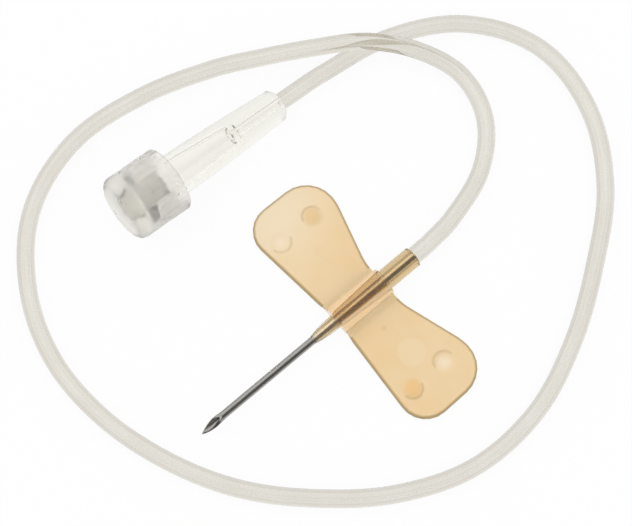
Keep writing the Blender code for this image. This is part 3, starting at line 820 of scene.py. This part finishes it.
hub_bore_r = CANNULA_R - STEEL_GRIP
rear_round = (HUB_REAR_R - HUB_EDGE_R, HUB_LENGTH - HUB_EDGE_R)
hub_profile = [
    (hub_bore_r, HUB_LENGTH),
    *arc(rear_round, HUB_EDGE_R, pi / 2, 0.0, ROUND_STEPS),
    (HUB_REAR_R, HUB_TAPER_END),
    (HUB_FRONT_R, HUB_CONE_LENGTH),
    *reversed(GLUE_BEAD),
    (hub_bore_r, 0.0),
]
along_needle = Matrix.Translation((0.0, HUB_NOSE_Y, HUB_AXIS_Z)) @ Matrix.Rotation(-pi / 2, 4, "X")
work = turned(hub_profile, HUB_STEPS)
work.transform(along_needle)
hub = finish_piece("smoke_hub", work, smoke_plastic, "needle_set")
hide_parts("needle_hub")

# %% [markdown]
# ## The sleeve
# The sleeve between the wings is moulded onto the hub, so there is no air between them either.
# The CAD model leaves a fine gap there for its own checks. The copy's bore is drawn in until it
# grips the hub, point by point, by measuring how far each point is from the needle's axis.

# %% Sleeve
BORE_REACH = 0.12

work = merged_copy("wing_saddle")
gripping = 0
for vertex in work.verts:
    from_axis = Vector((vertex.co.x, 0.0, vertex.co.z - HUB_AXIS_Z))
    skin = hub_radius((vertex.co.y - HUB_NOSE_Y) / MM)
    if from_axis.length / MM < skin + BORE_REACH:
        drawn_in = from_axis.normalized() * (skin - GRIP) * MM
        vertex.co.x = drawn_in.x
        vertex.co.z = drawn_in.z + HUB_AXIS_Z
        gripping += 1
print(gripping, "points grip the hub")
saddle = finish_piece("vinyl_sleeve", work, sleeve_vinyl, "needle_set")
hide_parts("wing_saddle")

# %% [markdown]
# ## The wings
# The wings keep the CAD model's shape, with its domed stud and bowl-shaped dimple. Their broad
# flat faces meet small rounded edges. Plain smooth shading would let those small faces tilt the
# light on the large ones, in wedges that run from a stud to the rim. Two things stop that: the
# broad faces are inset, which lays a narrow ring of faces round each edge, and a Weighted Normal
# modifier lets the large faces rule. The broad faces' triangles are first turned into better
# shaped ones, because slivers spoil an inset. The points outside the ring carry a 1, and those
# inside it and round the studs a 0, which is the number that the vinyl reads for its darker rim.

# %% Wings
WING_SHARP = radians(60)
BROAD_LEVEL = 0.999
RIM_WIDTH = 0.3
STUD_REACH = 2.0


def broad_faces(work):
    """The wing's faces that lie level."""
    return [face for face in work.faces if abs(face.normal.z) > BROAD_LEVEL]


def ringed_wing(node):
    """The wing's skin, with a ring inset in its broad faces and its points numbered."""
    work = merged_copy(node)
    near_rim = work.verts.layers.float.new(RIM_SHADE_NUMBER)
    broad = broad_faces(work)
    crossing = [edge for edge in work.edges if all(face in broad for face in edge.link_faces)]
    bmesh.ops.beautify_fill(work, faces=broad, edges=crossing)
    broad = broad_faces(work)
    bmesh.ops.inset_region(
        work,
        faces=broad,
        thickness=RIM_WIDTH * MM,
        use_boundary=True,
        use_even_offset=True,
    )
    inside = {vertex for face in broad for vertex in face.verts}
    print(len(inside), "of", len(work.verts), "points inside the ring")
    for vertex in work.verts:
        across, along = abs(vertex.co.x) - STUD_X * MM, vertex.co.y
        reaches = [Vector((across, along - y * MM)).length for y in (STUD_REAR_Y, STUD_FRONT_Y)]
        near_stud = min(reaches) < STUD_REACH * MM
        # 1 puts the rim's painted shade on a point, 0 leaves the vinyl's own tone.
        vertex[near_rim] = 0.0 if vertex in inside or near_stud else 1.0
    return work


for node, material in (("left_wing", left_vinyl), ("right_wing", right_vinyl)):
    wing = finish_piece(
        "vinyl_" + node,
        ringed_wing(node),
        material,
        node + "_body",
        sharp=WING_SHARP,
    )
    weighted = wing.modifiers.new("broad_faces_rule", "WEIGHTED_NORMAL")
    weighted.keep_sharp = True
    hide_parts(node)

# %% [markdown]
# ## The folding webs
# On the real moulding a thin web joins each wing to the sleeve, and it bends when the wings are
# pinched. The CAD model has a joint there and a fine gap. A strip is laid over the gap. Its inner
# edge curves up the sleeve's side as a fillet, because a mould has no sharp inside corners there.

# %% Folding webs
WEB_TOP = 1.02
WEB_LOW = 0.74
WEB_ROOT = 1.97
WEB_END = 2.92
WEB_HALF_LENGTH = 4.28
WEB_COLUMNS = 24
WEB_ROWS = 8
GRID_HALF = 0.5
FILLET_R = 0.5


def fold_web(side):
    """A thin strip across the fold, with a fillet up to the sleeve."""
    work = bmesh.new()
    bmesh.ops.create_grid(work, x_segments=WEB_COLUMNS, y_segments=WEB_ROWS, size=GRID_HALF)
    for vertex in work.verts:
        across = WEB_ROOT + (WEB_END - WEB_ROOT) * (vertex.co.x + GRID_HALF)
        inside = min(max(WEB_ROOT + FILLET_R - across, 0.0), FILLET_R)
        rise = FILLET_R - (FILLET_R ** 2 - inside ** 2) ** 0.5
        along = vertex.co.y / GRID_HALF * WEB_HALF_LENGTH
        vertex.co = Vector((side * across, along, WEB_TOP + rise)) * MM
    bottom = bmesh.ops.extrude_face_region(work, geom=work.faces[:])["geom"]
    for item in bottom:
        if isinstance(item, bmesh.types.BMVert):
            item.co.z = WEB_LOW * MM
    bmesh.ops.recalc_face_normals(work, faces=work.faces)
    return work


for side, node in ((-1, "left_wing"), (1, "right_wing")):
    web = finish_piece(node + "_web", fold_web(side), fold_vinyl, None)
    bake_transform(web)

# %% [markdown]
# ## The connector
# The connector is a long hollow cone. From its mouth there is the standard 6 percent taper that
# seals, then a throat, a stop for the tubing and the socket that the tubing is welded into. Two
# lugs at the mouth hold a threaded collar. In the welded socket only the tubing's own bore is
# left, and the fine gap between the tubing's end and its stop. All of it shows through the wall.

# %% Connector
CONNECTOR_STEPS = 96
LUER_LENGTH = 25.2
LUER_BODY_R = 3.10
LUER_MOUTH_R = 2.15
LUER_MOUTH_FLARE = 0.12
LUER_SEAT_END = (1.91, 17.2)
LUER_THROAT_R = 1.3
LUER_STOP_AT = 8.7
TUBE_END_GAP = (7.7, 8.0)
TUBE_END_GAP_R = 1.15
LUER_EDGE_R = 0.15
LUER_END_CHAMFER = (2.01, 0.55)
BODY_STEPS = 16
LUG_R = 3.9
LUG_WIDTH = 3.6
LUG_BASE_R = 3.09


def body_radius(height):
    """The outside swells from the tube end to the cap's rim, then runs straight."""
    share = min(height / CAP_RIM_AT, 1.0)
    return LUER_END_R + (LUER_BODY_R - LUER_END_R) * sin(share * pi / 2)


body_heights = [CAP_RIM_AT * step / BODY_STEPS for step in range(BODY_STEPS, 0, -1)]
mouth_round = (LUER_BODY_R - LUER_EDGE_R, LUER_LENGTH - LUER_EDGE_R)
connector_profile = [
    (LUER_MOUTH_R + LUER_MOUTH_FLARE, LUER_LENGTH),
    *arc(mouth_round, LUER_EDGE_R, pi / 2, 0.0, ROUND_STEPS),
    *[(body_radius(height), height) for height in body_heights],
    (body_radius(LUER_END_CHAMFER[1]), LUER_END_CHAMFER[1]),
    (LUER_END_CHAMFER[0], 0.0),
    (TUBE_BORE_R, 0.0),
    (TUBE_BORE_R, TUBE_END_GAP[0]),
    (TUBE_END_GAP_R, TUBE_END_GAP[0]),
    (TUBE_END_GAP_R, TUBE_END_GAP[1]),
    (TUBE_BORE_R, TUBE_END_GAP[1]),
    (TUBE_BORE_R, LUER_STOP_AT),
    (LUER_THROAT_R, LUER_STOP_AT),
    LUER_SEAT_END,
    (LUER_MOUTH_R, LUER_LENGTH - LUER_MOUTH_FLARE),
]
work = turned(connector_profile, CONNECTOR_STEPS)
work.transform(luer_place)
connector = finish_piece(
    "clear_connector",
    work,
    moulded_clear,
    "needle_set",
)
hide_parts("luer_connector")

# %% Connector lugs
LUG_PROFILE = (
    (LUG_BASE_R, 24.95),
    (3.65, 24.95),
    (LUG_R, 24.7),
    (LUG_R, 24.0),
    (LUG_BASE_R, 23.75),
)


def lug_pair():
    """A turned ring cut by two planes down to the two lugs."""
    work = turned(LUG_PROFILE, CONNECTOR_STEPS)
    for side in (-1, 1):
        cut = bmesh.ops.bisect_plane(
            work,
            geom=work.verts[:] + work.edges[:] + work.faces[:],
            plane_co=(side * LUG_WIDTH / 2 * MM, 0.0, 0.0),
            plane_no=(side, 0.0, 0.0),
            clear_outer=True,
        )
        edges = [item for item in cut["geom_cut"] if isinstance(item, bmesh.types.BMEdge)]
        bmesh.ops.triangle_fill(work, edges=edges, use_beauty=True)
    bmesh.ops.recalc_face_normals(work, faces=work.faces)
    return work


work = lug_pair()
work.transform(luer_place)
lugs = finish_piece("connector_lugs", work, moulded_clear, "needle_set")

# %% [markdown]
# ## The cap
# The cap is a short cup over the connector's mouth. A tapered plug inside it seals the bore, a
# double thread on its inner wall takes the lugs, and flutes round its open end give a grip. The
# cup is turned with many steps. Its points are then moved in or out by two formulas, one for the
# flutes and one for the thread, which follows a helix.

# %% Cap
CAP_STEPS = 288
CAP_LENGTH = 8.45
CAP_INNER_R = 4.10
CAP_FLOOR = 6.3
CAP_CORNER_R = 1.2
CAP_CORNER_STEPS = 8
CAP_RIM_EDGE = 0.22
OUTER_RINGS = 22
INNER_RINGS = 30
FLUTES = 24
FLUTE_LENGTH = 4.6
FLUTE_DEPTH = 0.12
FLUTE_RUN_OUT = 0.3
THREAD_STARTS = 2
THREAD_LEAD = 5.0
THREAD_DEPTH = 0.2
THREAD_FLANK = (0.2, 0.7)
THREAD_START = 0.5
THREAD_RUN_IN = 0.4
PLUG_TIP = 1.6
PLUG_ROOT_R = 2.07
PLUG_TIP_R = 1.94
PLUG_EDGE = 0.15
SKIN_BAND = 0.01

wall_top = CAP_LENGTH - CAP_CORNER_R
cap_corner = (CAP_OUTER_R - CAP_CORNER_R, wall_top)
outer_run = wall_top - CAP_RIM_EDGE
inner_run = CAP_FLOOR - CAP_RIM_EDGE
outer_heights = [CAP_RIM_EDGE + outer_run * step / OUTER_RINGS for step in range(OUTER_RINGS)]
inner_heights = [CAP_RIM_EDGE + inner_run * step / INNER_RINGS for step in range(INNER_RINGS + 1)]
cap_profile = [
    (0.0, CAP_LENGTH),
    *arc(cap_corner, CAP_CORNER_R, pi / 2, 0.0, CAP_CORNER_STEPS),
    *[(CAP_OUTER_R, height) for height in reversed(outer_heights)],
    (CAP_OUTER_R - CAP_RIM_EDGE, 0.0),
    (CAP_INNER_R + CAP_RIM_EDGE / 2, 0.0),
    *[(CAP_INNER_R, height) for height in inner_heights],
    (PLUG_ROOT_R, CAP_FLOOR),
    (PLUG_TIP_R, PLUG_TIP + PLUG_EDGE),
    (PLUG_TIP_R - PLUG_EDGE, PLUG_TIP),
    (0.0, PLUG_TIP),
]


def shape_cap(work):
    """Press the grip flutes into the outside and the thread into the inside."""
    for vertex in work.verts:
        radius = vertex.co.xy.length / MM
        height = vertex.co.z / MM
        if radius < CAP_INNER_R - SKIN_BAND:
            continue
        turn = vertex.co.xy.angle_signed(Vector((1.0, 0.0)))
        move = 0.0
        if radius > CAP_OUTER_R - SKIN_BAND:
            groove = max(0.0, cos(FLUTES * turn + pi))
            end = ramp(height, FLUTE_LENGTH + FLUTE_RUN_OUT, FLUTE_LENGTH - FLUTE_RUN_OUT)
            move = -FLUTE_DEPTH * groove * end
        elif radius < CAP_INNER_R + SKIN_BAND:
            wave = cos(THREAD_STARTS * (turn - 2 * pi * height / THREAD_LEAD))
            start = ramp(height, THREAD_START, THREAD_START + THREAD_RUN_IN)
            end = ramp(height, CAP_FLOOR - THREAD_RUN_IN, CAP_FLOOR - 2 * THREAD_RUN_IN)
            move = THREAD_DEPTH * ramp(wave, *THREAD_FLANK) * start * end
        vertex.co.xy *= (radius + move) / radius


work = turned(cap_profile, CAP_STEPS, closed=False)
shape_cap(work)
work.transform(luer_place @ Matrix.Translation((0.0, 0.0, CAP_RIM_AT * MM)))
cap = finish_piece("frosted_cap", work, moulded_cap, "cap_body")
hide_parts("luer_cap")

# %% [markdown]
# ## Table, light and the dark card
# The table is a white sheet that keeps a soft shadow. To the camera, and in gloss and glass, most
# of its light is its own, so it shows white. The world is a white tent. A large soft lamp on the
# left of the needle, a little stronger than its fellow on the right, gives the light a direction.
# Together they light a level face about as strongly as its colour is written. In gloss and clear
# plastic the tent is darker towards its foot, which draws the thin grey edges of the tubing and
# the connector. Polished steel in a white tent looks like nothing unless it has something dark to
# mirror, so a curved grey card stands over the scene from above to the right. Only gloss and clear
# plastic see it.

# %% Table
SHEET_WHITE = linear("#F7F7F7")
SHEET_ROUGHNESS = 0.9
PURE_WHITE = (1.0, 1.0, 1.0, 1.0)
OWN_LIGHT = 0.93
TABLE_HALF = 2.0
TABLE_DROP = 0.02 * MM


def seen_directly(tree):
    """1 for rays from the camera, or from it by way of gloss or glass."""
    path = add_node(tree, "LightPath").outputs
    seen = path["Is Camera Ray"]
    for other in ("Is Glossy Ray", "Is Transmission Ray"):
        seen = add_node(tree, "Math", {0: seen, 1: path[other]}, operation="MAXIMUM").outputs[0]
    return seen


white_sheet, tree, shader, place = new_material(
    "white_sheet",
    base_color=SHEET_WHITE,
    roughness=SHEET_ROUGHNESS,
    specular_ior_level=0.0,
)
own = add_node(tree, "Emission", {"Color": PURE_WHITE, "Strength": 1.0}).outputs[0]
share = add_node(tree, "Math", {0: seen_directly(tree), 1: OWN_LIGHT}, operation="MULTIPLY")
mixed = add_node(tree, "MixShader", {0: share.outputs[0], 1: shader.outputs[0], 2: own})
tree.links.new(mixed.outputs[0], tree.nodes["Material Output"].inputs["Surface"])

work = bmesh.new()
bmesh.ops.create_grid(work, x_segments=1, y_segments=1, size=TABLE_HALF)
work.transform(Matrix.Translation((0.0, 0.0, -TABLE_DROP)))
table = new_object("table", work, white_sheet)

# %% Dark card
CARD_R = 0.55
CARD_START = radians(2)
CARD_END = radians(-86)
CARD_LENGTH = 1.6
CARD_STEPS = 16
CARD_GREY = 0.15


def dark_card():
    """A quarter tunnel along the needle, from overhead down to the right."""
    work = bmesh.new()
    across = -CARD_R * sin(CARD_START)
    height = CARD_R * cos(CARD_START)
    start = work.verts.new((across, -CARD_LENGTH / 2, height))
    end = work.verts.new((across, CARD_LENGTH / 2, height))
    edge = work.edges.new((start, end))
    bmesh.ops.spin(
        work,
        geom=[start, end, edge],
        axis=(0.0, 1.0, 0.0),
        cent=(0.0, 0.0, 0.0),
        angle=CARD_START - CARD_END,
        steps=CARD_STEPS,
    )
    return work


grey, tree, shader, place = new_material("grey_card")
flat_grey = add_node(tree, "Emission", {"Strength": CARD_GREY}).outputs[0]
tree.links.new(flat_grey, tree.nodes["Material Output"].inputs["Surface"])
card = new_object("dark_card", dark_card(), grey)
card.visible_camera = False
card.visible_diffuse = False
card.visible_shadow = False

# %% Lamps and world
WORLD_FILL = 0.8
HORIZON_LIGHT = 0.5
HORIZON_BAND = (0.0, 0.6)
LEFT_LIGHT = (-0.9, -0.1, 1.1)
RIGHT_LIGHT = (0.8, 0.3, 1.2)
LAMP_DISTANCE = 0.9
LAMP_SIZE = 0.9
LEFT_POWER = 1.65
RIGHT_POWER = 1.35


def soft_lamp(name, direction, power):
    """A square soft lamp that faces the needle and leaves no bright spot in gloss."""
    light = bpy.data.lights.new(name, "AREA")
    light.size = LAMP_SIZE
    light.energy = power
    lamp = bpy.data.objects.new(name, light)
    lamp.location = Vector(direction).normalized() * LAMP_DISTANCE
    lamp.rotation_euler = Vector(direction).to_track_quat("Z", "Y").to_euler()
    lamp.visible_glossy = False
    bpy.context.scene.collection.objects.link(lamp)
    print(name, power, "W")


soft_lamp("left_softbox", LEFT_LIGHT, LEFT_POWER)
soft_lamp("right_fill", RIGHT_LIGHT, RIGHT_POWER)

world = bpy.data.worlds.new("white_tent")
bpy.context.scene.world = world
world.use_nodes = True
tree = world.node_tree
height = add_node(tree, "SeparateXYZ", {0: add_node(tree, "TexCoord").outputs["Generated"]})
tent = add_node(tree, "MapRange", {
    "Value": height.outputs["Z"],
    "From Min": HORIZON_BAND[0],
    "From Max": HORIZON_BAND[1],
    "To Min": HORIZON_LIGHT,
    "To Max": 1.0,
}, **SMOOTH).outputs["Result"]
mirrored = add_node(tree, "Mix", {0: seen_directly(tree), 2: WORLD_FILL, 3: tent}).outputs[0]
from_camera = add_node(tree, "LightPath").outputs["Is Camera Ray"]
level = add_node(tree, "Mix", {0: from_camera, 2: mirrored, 3: 1.0}).outputs[0]
background = tree.nodes["Background"]
background.inputs["Color"].default_value = PURE_WHITE
tree.links.new(level, background.inputs["Strength"])
bpy.context.scene.view_settings.view_transform = "Standard"
